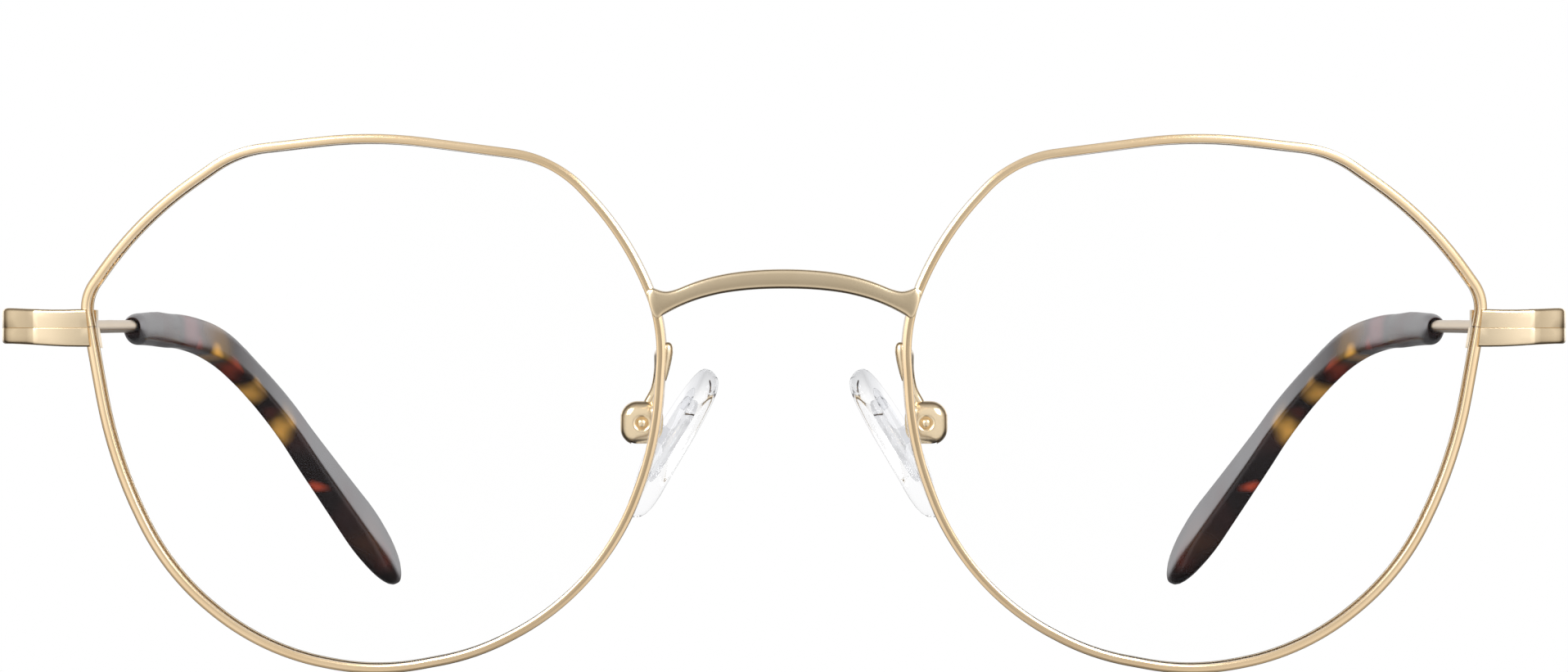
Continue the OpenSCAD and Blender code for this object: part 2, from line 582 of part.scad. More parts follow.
module pad_screw() {
    color(gold) translate(box_at + [0, pad_head_sink - box_depth / 2 + pad_shank_l, 0])
        rotate([90, 0, 0]) screw(pad_screw_r, pad_shank_l, pad_head_r, 0.4, 0.24);
}

// Nose pads: a soft pad moulded round a hard core whose stem is screwed into the box
stem_l = 3.15;
// The stem stands above the middle of the pad
stem_above = 0.3;
pad_out = [cos(pad_splay_deg) * cos(pad_lean_deg), -sin(pad_splay_deg),
    cos(pad_splay_deg) * sin(pad_lean_deg)];
pad_at = box_at - stem_l * pad_out;
module at_pad() {
    translate(pad_at) rotate([0, -pad_lean_deg, 0]) rotate([0, 0, -pad_splay_deg])
        translate([0, 0, -stem_above]) children();
}
module core_shape(grow) {
    plate_w = pad_w / 2 + 2 * grow;
    at_pad() for (z = [-1, 1]) translate([-grow, 0, z * pad_l / 5.6]) rotate([0, 90, 0])
        cylinder(r = plate_w / 2, h = 0.6 + 2 * grow, $fn = 40);
    at_pad() translate([-grow, -plate_w / 2, -pad_l / 5.6])
        cube([0.6 + 2 * grow, plate_w, pad_l / 2.8]);
    translate(box_at) rotate([0, -pad_lean_deg, 0])
        translate([-stem_l, -stem_t / 2 - grow, -stem_r - grow])
            cube([stem_l, stem_t + 2 * grow, 2 * (stem_r + grow)]);
}
module pad_core() {
    color(core_grey) difference() {
        union() {
            core_shape(0);
            across(box_at, stem_r, -stem_t / 2, stem_t / 2);
        }
        across(box_at, pad_screw_r + pad_screw_clear, -box_depth, box_depth);
    }
}
pad_sides = 32;
// Rings of the pad from its flat back to its crown: [distance from the middle, size]. Towards its
// lower end the pad gets narrower, and its back comes nearer to the crown
pad_form = [[0.5, 0.84], [0.42, 0.95], [0.25, 1], [0, 0.985], [-0.22, 0.93], [-0.38, 0.8],
    [-0.47, 0.58], [-0.5, 0.3]];
low_narrow = 0.22;
low_thin = 0.45;
function pad_ring(x, k) = [for (j = [0 : pad_sides - 1]) let (
    a = 360 * j / pad_sides,
    up = sign(sin(a)) * pow(abs(sin(a)), 0.9),
    low = pow(max(0, -up), 2),
    y = sign(cos(a)) * pow(abs(cos(a)), 0.85) * pad_w / 2 * (1 - low_narrow * low)
) [x * pad_t * (x > 0 ? 1 - low_thin * low : 1), k * y, up * pad_l / 2 * mix(1, k, up > 0 ? 0.45 : 0.7)]];
module nose_pad() {
    color(silicone) difference() {
        at_pad() swept([for (f = pad_form) pad_ring(f[0], f[1])]);
        core_shape(core_clear);
    }
}

// Seats the whole frame on the table with the origin under its middle
middle_y = (bridge_y + temple_end_y) / 2;
module seated() {
    translate([0, -middle_y, -floor_z]) children();
}
module twin() {
    seated() mirror([1, 0, 0]) children();
}

seated() rim();  // rim_left
twin() rim();  // rim_right
seated() lens();  // lens_left
twin() lens();  // lens_right
seated() bridge();
seated() endpiece_upper();  // endpiece_upper_left
twin() endpiece_upper();  // endpiece_upper_right
seated() endpiece_lower();  // endpiece_lower_left
twin() endpiece_lower();  // endpiece_lower_right
seated() lock_screw();  // lock_screw_left
twin() lock_screw();  // lock_screw_right
seated() hinge_screw();  // hinge_screw_left
twin() hinge_screw();  // hinge_screw_right
seated() temple_hinge();  // temple_hinge_left
twin() temple_hinge();  // temple_hinge_right
seated() temple_wire();  // temple_wire_left
twin() temple_wire();  // temple_wire_right
seated() temple_tip();  // temple_tip_left
twin() temple_tip();  // temple_tip_right
seated() pad_arm();  // pad_arm_left
twin() pad_arm();  // pad_arm_right
seated() pad_screw();  // pad_screw_left
twin() pad_screw();  // pad_screw_right
seated() pad_core();  // pad_core_left
twin() pad_core();  // pad_core_right
seated() nose_pad();  // nose_pad_left
twin() nose_pad();  // nose_pad_right
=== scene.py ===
"""Gold metal eyeglasses: clear lenses of a rounded, many-cornered outline, silicone nose pads and
tortoiseshell temple tips.

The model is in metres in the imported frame: +X the wearer's left, +Y back along the temples, +Z up.
Sizes below are in millimetres in the maker's drawing, whose middle is the bridge, and `placed` takes
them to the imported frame. Pieces are made for the wearer's left and mirrored.
"""
import contextlib
import math

import bmesh
import bpy
from mathutils import Matrix, Vector


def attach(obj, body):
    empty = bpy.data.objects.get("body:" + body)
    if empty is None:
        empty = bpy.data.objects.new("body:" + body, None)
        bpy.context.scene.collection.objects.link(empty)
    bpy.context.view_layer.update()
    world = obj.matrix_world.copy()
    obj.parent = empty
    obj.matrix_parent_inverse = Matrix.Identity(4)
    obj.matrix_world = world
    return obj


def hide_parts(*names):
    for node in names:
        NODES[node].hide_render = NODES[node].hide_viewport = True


MM = 0.001
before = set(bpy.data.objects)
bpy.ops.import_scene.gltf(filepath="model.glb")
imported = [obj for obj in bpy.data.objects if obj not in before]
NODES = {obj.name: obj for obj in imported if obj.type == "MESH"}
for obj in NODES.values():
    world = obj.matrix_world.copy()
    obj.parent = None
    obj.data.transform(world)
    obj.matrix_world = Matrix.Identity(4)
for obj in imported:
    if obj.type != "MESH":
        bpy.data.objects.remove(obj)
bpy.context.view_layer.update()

# Camera. The focal length is in pixels of the 1916 pixel wide photograph
IMAGE_W = 1916
FOCAL_PX = 5776
SENSOR_W = 36
CAMERA_AT = (0, -470.57 * MM, 28.92 * MM)

# The drawing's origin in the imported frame
MIDDLE_Y = 70.5736
FLOOR_Z = -23.167


def look_straight_on():
    bpy.ops.object.camera_add(location=CAMERA_AT, rotation=(math.radians(90), 0, 0))
    camera = bpy.context.active_object
    camera.name = "camera"
    camera.data.sensor_width = SENSOR_W
    camera.data.lens = FOCAL_PX / IMAGE_W * SENSOR_W
    camera.data.clip_start = 10 * MM
    bpy.context.scene.camera = camera


def placed(point):
    """A point of the drawing, in millimetres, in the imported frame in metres."""
    return Vector((point[0], point[1] - MIDDLE_Y, point[2] - FLOOR_Z)) * MM


def mix(a, b, k):
    return a + (b - a) * k


def smoothly(k):
    k = min(1, max(0, k))
    return k * k * (3 - 2 * k)


def spaced(a, b, count):
    return [mix(a, b, i / count) for i in range(count + 1)]


def angles_round(count, start=0.0):
    return [2 * math.pi * (k + start) / count for k in range(count)]


# ---------------------------------------------------------------------------------------------
# Material nodes
# ---------------------------------------------------------------------------------------------
def new_material(name):
    """A material with a Principled BSDF, its tree, and that shader."""
    material = bpy.data.materials.new(name)
    material.use_nodes = True
    tree = material.node_tree
    return material, tree, tree.nodes["Principled BSDF"]


def put(tree, kind, **values):
    node = tree.nodes.new(kind)
    for name, value in values.items():
        setattr(node, name, value)
    return node


def wire(tree, start, end):
    tree.links.new(start, end)


def remapped(tree, source, low, high, to_low, to_high, curve="LINEAR"):
    """The source value moved from one range to another, and held there."""
    node = put(tree, "ShaderNodeMapRange", interpolation_type=curve)
    ends = {"From Min": low, "From Max": high, "To Min": to_low, "To Max": to_high}
    for socket, value in ends.items():
        node.inputs[socket].default_value = value
    wire(tree, source, node.inputs["Value"])
    return node.outputs["Result"]


def mixed(tree, share, first, second):
    """Mixes two colours, each a fixed colour or a socket, by a socket."""
    node = put(tree, "ShaderNodeMix", data_type="RGBA")
    wire(tree, share, node.inputs["Factor"])
    for socket, colour in ((node.inputs[6], first), (node.inputs[7], second)):
        if isinstance(colour, tuple):
            socket.default_value = (*colour, 1)
        else:
            wire(tree, colour, socket)
    return node.outputs[2]


def worked(tree, kind, operation, *inputs):
    """What a math node, of kind "" or "Vector", makes of these sockets or fixed values."""
    node = put(tree, "ShaderNode%sMath" % kind, operation=operation)
    for socket, value in zip(node.inputs, inputs):
        if isinstance(value, bpy.types.NodeSocket):
            wire(tree, value, socket)
        else:
            socket.default_value = value
    return node.outputs["Value" if not kind or operation in ("DISTANCE", "LENGTH") else "Vector"]


def place_on(tree):
    """The place on the object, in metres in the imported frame."""
    return put(tree, "ShaderNodeTexCoord").outputs["Object"]


def parts_of(tree, vector):
    """A vector's X, Y and Z."""
    node = put(tree, "ShaderNodeSeparateXYZ")
    wire(tree, vector, node.inputs[0])
    return node.outputs


def place_either_side(tree):
    """The place as on the wearer's left, so that both sides look alike."""
    return worked(tree, "Vector", "ABSOLUTE", place_on(tree))


def noise(tree, where, scale, detail=2.0):
    node = put(tree, "ShaderNodeTexNoise")
    node.inputs["Scale"].default_value = scale
    node.inputs["Detail"].default_value = detail
    wire(tree, where, node.inputs["Vector"])
    return node


def new_group(name, takes, gives):
    """A node group with sockets named and typed as given, its input node and its output node."""
    group = bpy.data.node_groups.new(name, "ShaderNodeTree")
    for way, sockets in (("INPUT", takes), ("OUTPUT", gives)):
        for socket, kind in sockets.items():
            group.interface.new_socket(socket, in_out=way, socket_type="NodeSocket" + kind)
    return group, put(group, "NodeGroupInput"), put(group, "NodeGroupOutput")


# Waves of noise in a metre, the depth of the grain in millimetres, and how far it moves the roughness
GRAIN_SCALE, CLOUD_SCALE, GRAIN_DEPTH, GRAIN_GLOSS = 9000, 180, 0.006, 0.03


def make_grain_group():
    """Satin grain of bead-blasted metal: a fine speckle with its bump, and a slow cloud."""
    group, start, end = new_group("satin_grain", {"Height": "Float"},
                                  {"Speckle": "Float", "Cloud": "Float", "Normal": "Vector"})
    place = place_on(group)
    speckle = noise(group, place, GRAIN_SCALE)
    cloud = noise(group, place, CLOUD_SCALE)
    bump = put(group, "ShaderNodeBump")
    bump.inputs["Distance"].default_value = GRAIN_DEPTH * MM
    wire(group, start.outputs["Height"], bump.inputs["Strength"])
    wire(group, speckle.outputs["Fac"], bump.inputs["Height"])
    wire(group, speckle.outputs["Fac"], end.inputs["Speckle"])
    wire(group, cloud.outputs["Fac"], end.inputs["Cloud"])
    wire(group, bump.outputs["Normal"], end.inputs["Normal"])
    return group


GRAIN = make_grain_group()


def plated_gold(name, deep, bright, roughness, grain_height):
    """Gold plating: two near golds in a slow cloud, and a grain in gloss and height."""
    material, tree, shader = new_material(name)
    grain = put(tree, "ShaderNodeGroup", node_tree=GRAIN)
    grain.inputs["Height"].default_value = grain_height
    cloud = remapped(tree, grain.outputs["Cloud"], 0.35, 0.65, 0, 1)
    wire(tree, mixed(tree, cloud, deep, bright), shader.inputs["Base Color"])
    rough = remapped(tree, grain.outputs["Speckle"], 0.3, 0.7,
                     roughness - GRAIN_GLOSS, roughness + GRAIN_GLOSS)
    wire(tree, rough, shader.inputs["Roughness"])
    wire(tree, grain.outputs["Normal"], shader.inputs["Normal"])
    shader.inputs["Metallic"].default_value = 1
    return material


# Colours in the tortoiseshell
AMBER = (0.95, 0.50, 0.10)
OLIVE = (0.17, 0.095, 0.022)
RED = (0.62, 0.085, 0.035)
BROWN = (0.075, 0.017, 0.010)
DEEP_BROWN = (0.035, 0.010, 0.007)
NEARLY_BLACK = (0.009, 0.0045, 0.0035)
PINK = (0.15, 0.045, 0.045)
BEIGE = (0.15, 0.095, 0.055)
WARM_BROWN = (0.05, 0.018, 0.008)
RED_BROWN = (0.065, 0.013, 0.008)
DARK_RED = (0.2, 0.04, 0.03)
# Spots of the tortoiseshell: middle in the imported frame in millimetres, radius, colour
SPOTS = [
    ((63.0, 34.0, 30.0), 3.6, PINK),
    ((61.4, 41.0, 29.6), 3.8, BEIGE),
    ((61.4, 42.5, 27.2), 2.8, OLIVE),
    ((62.6, 37.0, 27.6), 1.4, DARK_RED),
    ((61.9, 41.2, 26.0), 1.7, AMBER),
    ((60.4, 44.6, 24.4), 1.9, RED),
    ((59.0, 48.2, 22.4), 1.9, AMBER),
    ((59.9, 46.6, 22.6), 1.0, RED),
    ((59.0, 46.0, 26.4), 2.2, NEARLY_BLACK),
    ((54.9, 52.2, 19.6), 2.1, OLIVE),
    ((55.9, 53.0, 18.6), 1.9, AMBER),
    ((56.6, 50.8, 20.6), 1.2, BROWN),
    ((52.0, 57.7, 12.4), 1.0, RED),
    ((46.4, 63.4, 6.2), 3.2, WARM_BROWN),
    ((45.2, 65.2, 4.0), 2.0, RED_BROWN)]
# A spot fades out between these shares of its radius, and its edge strays this many millimetres
SPOT_FADE = (0.1, 1.35)
SPOT_RAGGED = 2.2


def make_spot_group():
    """One soft spot around a middle."""
    group, start, end = new_group(
        "acetate_spot", {"Place": "Vector", "Middle": "Vector", "Radius": "Float"}, {"Mask": "Float"})
    away = worked(group, "Vector", "DISTANCE", start.outputs["Place"], start.outputs["Middle"])
    share = worked(group, "", "DIVIDE", away, start.outputs["Radius"])
    wire(group, remapped(group, share, *SPOT_FADE, 1, 0, "SMOOTHSTEP"), end.inputs["Mask"])
    return group


def acetate():
    """Dark tortoiseshell acetate: amber, olive and red spots in a near black brown, polished."""
    spot_group = make_spot_group()
    material, tree, shader = new_material("acetate_tortoise")
    place = place_either_side(tree)
    ragged = noise(tree, place, 330, 1.5)
    shift = worked(tree, "Vector", "SUBTRACT", ragged.outputs["Color"], (0.5, 0.5, 0.5))
    stray = worked(tree, "Vector", "MULTIPLY", shift, [SPOT_RAGGED * MM] * 3)
    ragged_place = worked(tree, "Vector", "ADD", place, stray)
    clouds = noise(tree, place, 130).outputs["Fac"]
    colour = mixed(tree, remapped(tree, clouds, 0.45, 0.7, 0, 1), NEARLY_BLACK, DEEP_BROWN)
    for middle, radius, tint in SPOTS:
        spot = put(tree, "ShaderNodeGroup", node_tree=spot_group)
        spot.inputs["Middle"].default_value = [v * MM for v in middle]
        spot.inputs["Radius"].default_value = radius * MM
        wire(tree, ragged_place, spot.inputs["Place"])
        colour = mixed(tree, spot.outputs["Mask"], colour, tint)
    wire(tree, colour, shader.inputs["Base Color"])
    wire(tree, remapped(tree, clouds, 0.3, 0.7, 0.16, 0.24), shader.inputs["Roughness"])
    shader.inputs["IOR"].default_value = 1.54
    shader.inputs["Specular Tint"].default_value = (1, 0.96, 1, 1)
    return material


def clear_lens():
    """Polished lens with an anti-reflection coat and the faintest bloom."""
    material, tree, shader = new_material("lens_clear")
    shader.inputs["Base Color"].default_value = (1, 1, 1, 1)
    shader.inputs["Transmission Weight"].default_value = 1
    shader.inputs["IOR"].default_value = 1.5
    shader.inputs["Specular Tint"].default_value = (0.12, 0.13, 0.15, 1)
    bloom = noise(tree, place_on(tree), 90)
    wire(tree, remapped(tree, bloom.outputs["Fac"], 0.3, 0.7, 0, 0.003), shader.inputs["Roughness"])
    return material


def clear_plastic(name, tint, roughness, ior, painted_shade=None):
    """Silicone or hard clear plastic, with a faint cloud in its gloss. The last argument, if given, is a
    middle, as
    `place_either_side` gives it, in millimetres, with a radius and a grey: there the grey is painted
    into the colour, a painted shade that stands in for the dark reflections at the pad's top."""
    material, tree, shader = new_material(name)
    shader.inputs["Base Color"].default_value = (*tint, 1)
    if painted_shade:
        # Painted shade: the colour turns grey towards this middle, in place of dark reflections
        middle, radius, deep = painted_shade
        away = worked(tree, "Vector", "DISTANCE", place_either_side(tree), [v * MM for v in middle])
        share = remapped(tree, away, 0.45 * radius * MM, radius * MM, 1, 0, "SMOOTHSTEP")
        wire(tree, mixed(tree, share, tint, deep), shader.inputs["Base Color"])
    shader.inputs["Transmission Weight"].default_value = 1
    shader.inputs["IOR"].default_value = ior
    cloud = noise(tree, place_on(tree), 900)
    wire(tree, remapped(tree, cloud.outputs["Fac"], 0.3, 0.7, roughness, roughness + 0.05),
         shader.inputs["Roughness"])
    return material


GOLD = plated_gold("gold_satin", (0.775, 0.625, 0.415), (0.815, 0.665, 0.455), 0.22, 0.08)
GOLD_WIRE = plated_gold("gold_wire", (0.80, 0.60, 0.365), (0.84, 0.645, 0.41), 0.19, 0.05)
GOLD_BRIGHT = plated_gold("gold_polished", (0.80, 0.65, 0.43), (0.85, 0.70, 0.48), 0.15, 0.03)
ACETATE = acetate()
LENS = clear_lens()
# The silicone's grey near the pad's top is painted shade, standing in for the dark reflections there
SILICONE = clear_plastic("silicone_clear", (0.98, 0.98, 0.985), 0.02, 1.17,
                         ((6.85, 60.16, 24.6), 2.9, (0.62, 0.625, 0.64)))
CORE = clear_plastic("core_clear", (0.84, 0.845, 0.86), 0.05, 1.22)


# ---------------------------------------------------------------------------------------------
# Modelling helpers
# ---------------------------------------------------------------------------------------------
# How far apart doubled points may be, in millimetres, in a drawn bar and in a CAD copy
DRAWN_WELD, COPY_WELD = 0.0001, 0.0005
# The turn below which two faces are one flat face, and from which they meet in an edge
FLAT_WITHIN, EDGE_FROM = math.radians(1.5), math.radians(28)


def only(piece):
    bpy.ops.object.select_all(action="DESELECT")
    piece.select_set(True)
    bpy.context.view_layer.objects.active = piece


@contextlib.contextmanager
def editing(piece):
    """Edit mode with all of a piece selected."""
    only(piece)
    bpy.ops.object.mode_set(mode="EDIT")
    bpy.ops.mesh.select_all(action="SELECT")
    yield
    bpy.ops.object.mode_set(mode="OBJECT")


def faces_outward(piece):
    with editing(piece):
        bpy.ops.mesh.remove_doubles(threshold=DRAWN_WELD * MM)
        bpy.ops.mesh.normals_make_consistent(inside=False)


def drawn_bar(name, rings):
    """A solid drawn out of a filled circle: it is extruded and laid on each ring in turn."""
    bpy.ops.object.select_all(action="DESELECT")
    bpy.ops.mesh.primitive_circle_add(vertices=len(rings[0]), radius=MM, fill_type="NGON")
    piece = bpy.context.active_object
    piece.name = piece.data.name = name
    bpy.ops.object.mode_set(mode="EDIT")
    bpy.ops.mesh.select_mode(type="FACE")
    bpy.ops.mesh.select_all(action="SELECT")
    for step, ring in enumerate(rings):
        if step > 0:
            bpy.ops.mesh.extrude_region_move()
        shape = bmesh.from_edit_mesh(piece.data)
        end = next(face for face in shape.faces if face.select)
        for loop, point in zip(end.loops, ring):
            loop.vert.co = placed(point)
        bmesh.update_edit_mesh(piece.data)
    bpy.ops.object.mode_set(mode="OBJECT")
    faces_outward(piece)
    return piece


def applied(piece, kind, **values):
    """Adds a modifier with these values and applies it."""
    only(piece)
    modifier = piece.modifiers.new(kind.lower(), kind)
    for name, value in values.items():
        setattr(modifier, name, value)
    bpy.ops.object.modifier_apply(modifier=modifier.name)


def merged_copy(node, name):
    """A copy of a CAD node with its loose triangles merged."""
    piece = bpy.data.objects.new(name, NODES[node].data.copy())
    piece.data.name = name
    bpy.context.scene.collection.objects.link(piece)
    only(piece)
    bpy.ops.mesh.customdata_custom_splitnormals_clear()
    with editing(piece):
        bpy.ops.mesh.remove_doubles(threshold=COPY_WELD * MM)
    return piece


def named_in_place(name):
    """The primitive just added, named, and with its place in its mesh."""
    piece = bpy.context.active_object
    piece.name = piece.data.name = name
    bpy.ops.object.transform_apply(location=True, rotation=True, scale=True)
    return piece


def block(name, at, size):
    bpy.ops.object.select_all(action="DESELECT")
    bpy.ops.mesh.primitive_cube_add(size=1, location=placed(at), scale=[s * MM for s in size])
    return named_in_place(name)


def rod_across(name, at, radius, low, high, sides=32):
    """A round bar along the depth, from low to high of a point."""
    bpy.ops.object.select_all(action="DESELECT")
    bpy.ops.mesh.primitive_cylinder_add(
        vertices=sides, radius=radius * MM, depth=(high - low) * MM,
        location=placed(at + Vector((0, (low + high) / 2, 0))), rotation=(math.radians(90), 0, 0))
    return named_in_place(name)


def cut_by(piece, tool):
    applied(piece, "BOOLEAN", operation="DIFFERENCE", solver="EXACT", object=tool)
    bpy.data.objects.remove(tool)


def cut_off(piece, point, normal):
    """Cuts a convex piece by a plane and keeps the side behind it, closed."""
    with editing(piece):
        bpy.ops.mesh.bisect(plane_co=placed(point), plane_no=normal, use_fill=True, clear_outer=True)


def trimmed(piece, *planes):
    """Keeps what of a piece at the hinge lies behind every plane, each a point and a normal."""
    keep = block("keep", END_AT.to_3d() + Vector((3, 4, SPLIT_Z)), (24, 24, 24))
    for point, normal in planes:
        cut_off(keep, point, normal)
    applied(piece, "BOOLEAN", operation="INTERSECT", solver="EXACT", object=keep)
    bpy.data.objects.remove(keep)


def edges_broken(piece, width, segments=3):
    """Merges the flat faces and rounds the edges, as a machined and plated part has them."""
    with editing(piece):
        bpy.ops.mesh.dissolve_limited(angle_limit=FLAT_WITHIN)
    applied(piece, "BEVEL", width=width * MM, segments=segments, limit_method="ANGLE",
            angle_limit=EDGE_FROM, harden_normals=False)


def finish(piece, body, node, material, smooth=35):
    """Smooths the shading, gives the finish, ties the piece to its body, and hides the CAD node it
    stands in for.
    """
    only(piece)
    bpy.ops.object.shade_smooth_by_angle(angle=math.radians(smooth))
    if material in (GOLD, GOLD_WIRE, GOLD_BRIGHT, ACETATE):
        applied(piece, "WEIGHTED_NORMAL", keep_sharp=True, weight=70)
    piece.data.materials.clear()
    piece.data.materials.append(material)
    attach(piece, body)
    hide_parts(node)


def mirrored(piece, name):
    """The wearer's right copy of a left piece, with its own mesh."""
    copy = piece.copy()
    copy.data = piece.data.copy()
    copy.name = copy.data.name = name
    bpy.context.scene.collection.objects.link(copy)
    copy.data.transform(Matrix.Diagonal((-1, 1, 1, 1)))
    copy.data.flip_normals()
    return copy


def both_sides(piece, name, body, node, material, smooth=35):
    """Finishes a left piece and its mirror image. A star in a name stands for the side."""
    twin = mirrored(piece, name.replace("*", "right"))
    piece.name = piece.data.name = name.replace("*", "left")
    for side, one in (("left", piece), ("right", twin)):
        finish(one, body.replace("*", side), node.replace("*", side), material, smooth)


# ---------------------------------------------------------------------------------------------
# The lens outline and the rim's frame of reference, as in the drawing
# ---------------------------------------------------------------------------------------------
# Corners of the rim's outer face on the lens plane: u outward, v up, and how round the corner is
OUTLINE_CORNERS = [
    (26.15, 9.1, 4), (20.95, 16, 33), (12.2, 21.9, 10.5), (0, 23.2, 40), (-15.8, 21.1, 10.5),
    (-22.3, 14.2, 26), (-25.3, 6.6, 14), (-24.6, -3.4, 28), (-19.8, -16, 23), (-8.7, -21.8, 22),
    (0.2, -23.5, 22), (10.2, -21.7, 22), (18.7, -15, 22), (23.6, -5.1, 40)]
# The curve of the lenses, how far they turn back at the outer side and lean forward at the top, and
# the middle of the left one
LENS_CURVE_R = 265
WRAP = math.radians(8.5)
LEAN = math.radians(2.5)
LENS_CENTRE = Vector((34.989, 3.7, 0))
# The rim's width as seen from the front, its groove's bottom and half its groove's width
RIM_W = 0.72
GROOVE_N = -0.40
GROOVE_HALF = 0.45
# The height at which the rims and the endpieces are split, and half the split's width
SPLIT_Z, SPLIT_HALF = 6.45, 0.03


def corner_stations(i):
    """One round corner as (u, v, normal u, normal v), a station at every two degrees."""
    count = len(OUTLINE_CORNERS)
    before, here, after = (Vector(OUTLINE_CORNERS[k % count][:2]) for k in (i - 1, i, i + 1))
    radius = OUTLINE_CORNERS[i][2]
    first, then = (here - before).normalized(), (after - here).normalized()
    turn = math.atan2(first.x * then.y - first.y * then.x, first.dot(then))
    start = here - first * radius * math.tan(turn / 2)
    middle = start + Vector((-first.y, first.x)) * radius
    begin = math.atan2(-first.x, first.y)
    steps = max(3, round(math.degrees(abs(turn)) / 2))
    angles = [begin + turn * k / steps for k in range(steps + 1)]
    normals = [(math.cos(a), math.sin(a)) for a in angles]
    return [(middle.x + radius * u, middle.y + radius * v, u, v) for u, v in normals]


def with_straights(stations, closed):
    """Adds stations on the straights, so that none are more than a millimetre apart."""
    result = []
    pairs = list(zip(stations, stations[1:] + stations[:1]))
    for a, b in (pairs if closed else pairs[:-1]):
        steps = max(1, math.ceil(math.dist(a[:2], b[:2])))
        result += [tuple(mix(p, q, k / steps) for p, q in zip(a, b)) for k in range(steps)]
    return result if closed else result + [stations[-1]]


def on_lens(u, d, v):
    """A point at u outward and v up on the lens plane, d behind the lens curve and square to it."""
    k = 1 - d / LENS_CURVE_R
    sag = LENS_CURVE_R - math.sqrt(LENS_CURVE_R ** 2 - u * u - v * v) * k
    u, v = u * k, v * k
    y = sag * math.cos(LEAN) - v * math.sin(LEAN)
    z = v * math.cos(LEAN) + sag * math.sin(LEAN)
    return LENS_CENTRE + Vector(
        (u * math.cos(WRAP) - y * math.sin(WRAP), u * math.sin(WRAP) + y * math.cos(WRAP), z))


def on_rim(station, n, d):
    u, v, nu, nv = station
    return on_lens(u + n * nu, d, v + n * nv)


CORNERS_DRAWN = [s for i in range(len(OUTLINE_CORNERS)) for s in corner_stations(i)]
OUTLINE = with_straights(CORNERS_DRAWN, True)


def at_height(a, b, z):
    """The station between two where the rim's outer face is at height z."""
    low, high = on_rim(a, 0, 0).z, on_rim(b, 0, 0).z
    k = (z - low) / (high - low)
    return tuple(mix(p, q, k) for p, q in zip(a, b))


def nasal(z):
    """The station on the rim's nasal side at about height z."""
    for a, b in zip(OUTLINE, OUTLINE[1:]):
        if a[0] < 0 and on_rim(a, 0, 0).z >= z > on_rim(b, 0, 0).z:
            return at_height(b, a, z)


# ---------------------------------------------------------------------------------------------
# The frame's front
# ---------------------------------------------------------------------------------------------
# The rim's section, half of it: n outward from the outer face, d back from the middle. The front
# has a broad bevel on each side of a flat band
RIM_FRONT = [
    (0, 0), (0, -0.5), (0, -0.78), (-0.012, -0.82), (-0.04, -0.848), (-0.07, -0.863),
    (-0.22, -0.932), (-0.25, -0.944), (-0.29, -0.95), (-0.585, -0.95), (-0.61, -0.944),
    (-0.63, -0.935), (-0.72, -0.878), (-0.74, -0.86), (-0.75, -0.83), (-0.75, -0.65),
    (-RIM_W - 0.02, -GROOVE_HALF)]
RIM_SECTION = RIM_FRONT + [(GROOVE_N, 0)] + [(n, -d) for n, d in RIM_FRONT[:0:-1]]


def make_rims():
    last, first = CORNERS_DRAWN[-1], CORNERS_DRAWN[0]
    above, below = (at_height(last, first, SPLIT_Z + away) for away in (SPLIT_HALF, -SPLIT_HALF))
    path = with_straights([above] + CORNERS_DRAWN + [below], False)
    rim = drawn_bar("rim_wire", [[on_rim(s, n, d) for n, d in RIM_SECTION] for s in path])
    both_sides(rim, "rim_wire_*", "front", "rim_*", GOLD_WIRE, 24)


def make_lenses():
    """Two curved faces, with an edge that fills the rim's groove."""
    def ring(k, d, n=-RIM_W - 0.05):
        return [on_lens(k * (u + n * nu), d, k * (v + n * nv)) for u, v, nu, nv in OUTLINE]

    shares = [0.02, 0.12, 0.25, 0.4, 0.55, 0.7, 0.82, 0.92, 1]
    half, edge_half, edge_n = 0.75, 0.3, -0.55
    rings = [ring(k, -half) for k in shares]
    rings += [ring(1, -edge_half, edge_n), ring(1, edge_half, edge_n)]
    rings += [ring(k, half) for k in reversed(shares)]
    lens = drawn_bar("lens_body", rings)
    both_sides(lens, "lens_body_*", "front", "lens_*", LENS, 30)


def make_bridge():
    bar = merged_copy("bridge", "bridge_bar")
    with editing(bar):
        bpy.ops.mesh.tris_convert_to_quads(face_threshold=math.radians(40),
                                           shape_threshold=math.radians(120))
    applied(bar, "SUBSURF", levels=2, render_levels=2)
    finish(bar, "front", "bridge", GOLD, 60)


# Endpieces: where the plate's front starts in plan, half its height, and its plan from the rim round
# the outer corner to the hinge
END_AT = Vector((60.4393, 7.6024))
END_HALF = 1.63
END_TOP = SPLIT_Z + END_HALF
END_LOW = SPLIT_Z - END_HALF
PLATE_PLAN = [
    (-0.42, -0.41), (0.3, -0.35), (1.5, -0.22), (2.8, -0.02), (3.9, 0.2), (4.28, 0.285),
    (4.42, 0.36), (5.0, 0.82), (5.8, 1.45), (6.4, 1.86), (6.78, 2.14), (7.02, 2.34), (7.2, 2.56),
    (7.34, 2.82), (7.46, 3.12), (7.55, 3.5), (7.59, 4.0), (7.6, 4.6), (7.6, 5.35)]
# How thick the plate is at the rim and at the hinge, how far out its corner is, half the seam
# between its halves, and how far its end at the rim leans: outward at the top, inward below
PLATE_T, PLATE_REAR_T = 0.9, 0.75
CORNER_OUT = 7.2
SEAM_HALF = 0.002
PLATE_LEAN = 0.18
# Planes, each a point and a normal. What is beyond them would show round the plate
UNDER_PLATE = ((END_AT.x + 1.5, 0, END_LOW + 0.04), (0.0442, 0, -1))
BEHIND_PLATE = [((0, END_AT.y + 0.35, 0), (0, -1, 0)), ((END_AT.x + 7.25, 0, 0), (1, 0, 0)),
                ((END_AT.x + 4.15, END_AT.y + 0.72, 0), (0.602, -0.798, 0))]


